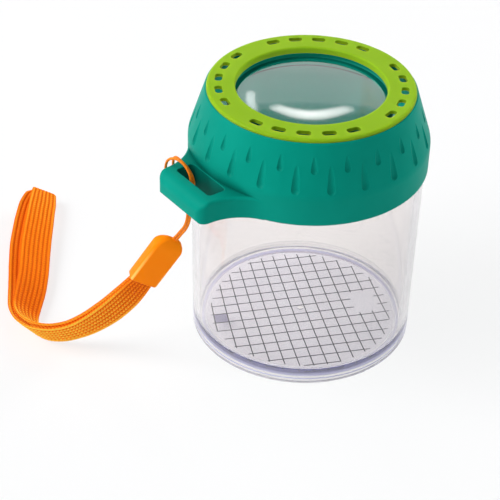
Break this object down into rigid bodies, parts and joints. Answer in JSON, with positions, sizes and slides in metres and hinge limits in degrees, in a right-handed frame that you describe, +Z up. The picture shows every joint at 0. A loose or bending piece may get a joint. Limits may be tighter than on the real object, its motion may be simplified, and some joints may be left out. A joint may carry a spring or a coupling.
{
  "type": "bug catcher jar",
  "caption": "Clear cylindrical collecting jar with a push-on vented lid, a convex magnifier in the lid and a cord and webbing wrist strap on a side tab.",
  "frame": {"origin": "centre of the jar's foot on the surface it stands on", "axes": "+Z up along the jar's axis, -X towards the strap tab"},
  "size_m": [0.1182, 0.1408, 0.085],
  "materials": {
    "clear_plastic": "clear polished moulded plastic",
    "teal_plastic": "satin moulded plastic",
    "lime_plastic": "satin moulded plastic",
    "lens_plastic": "clear polished lens",
    "orange_cord": "braided cord",
    "orange_plastic": "smooth soft plastic",
    "orange_webbing": "knitted flat webbing"
  },
  "bodies": {
    "jar": {"jar_body": "clear_plastic"},
    "lid": {"lid_shell": "teal_plastic", "vent_ring": "lime_plastic", "lens": "lens_plastic", "strap_string": "orange_cord", "strap_ferrule": "orange_plastic", "strap_webbing": "orange_webbing"}
  },
  "joints": [
    {"name": "lid_lift", "type": "slide", "parent": "jar", "child": "lid", "axis": [0, 0, 1], "range_m": [0, 0.04]}
  ]
}
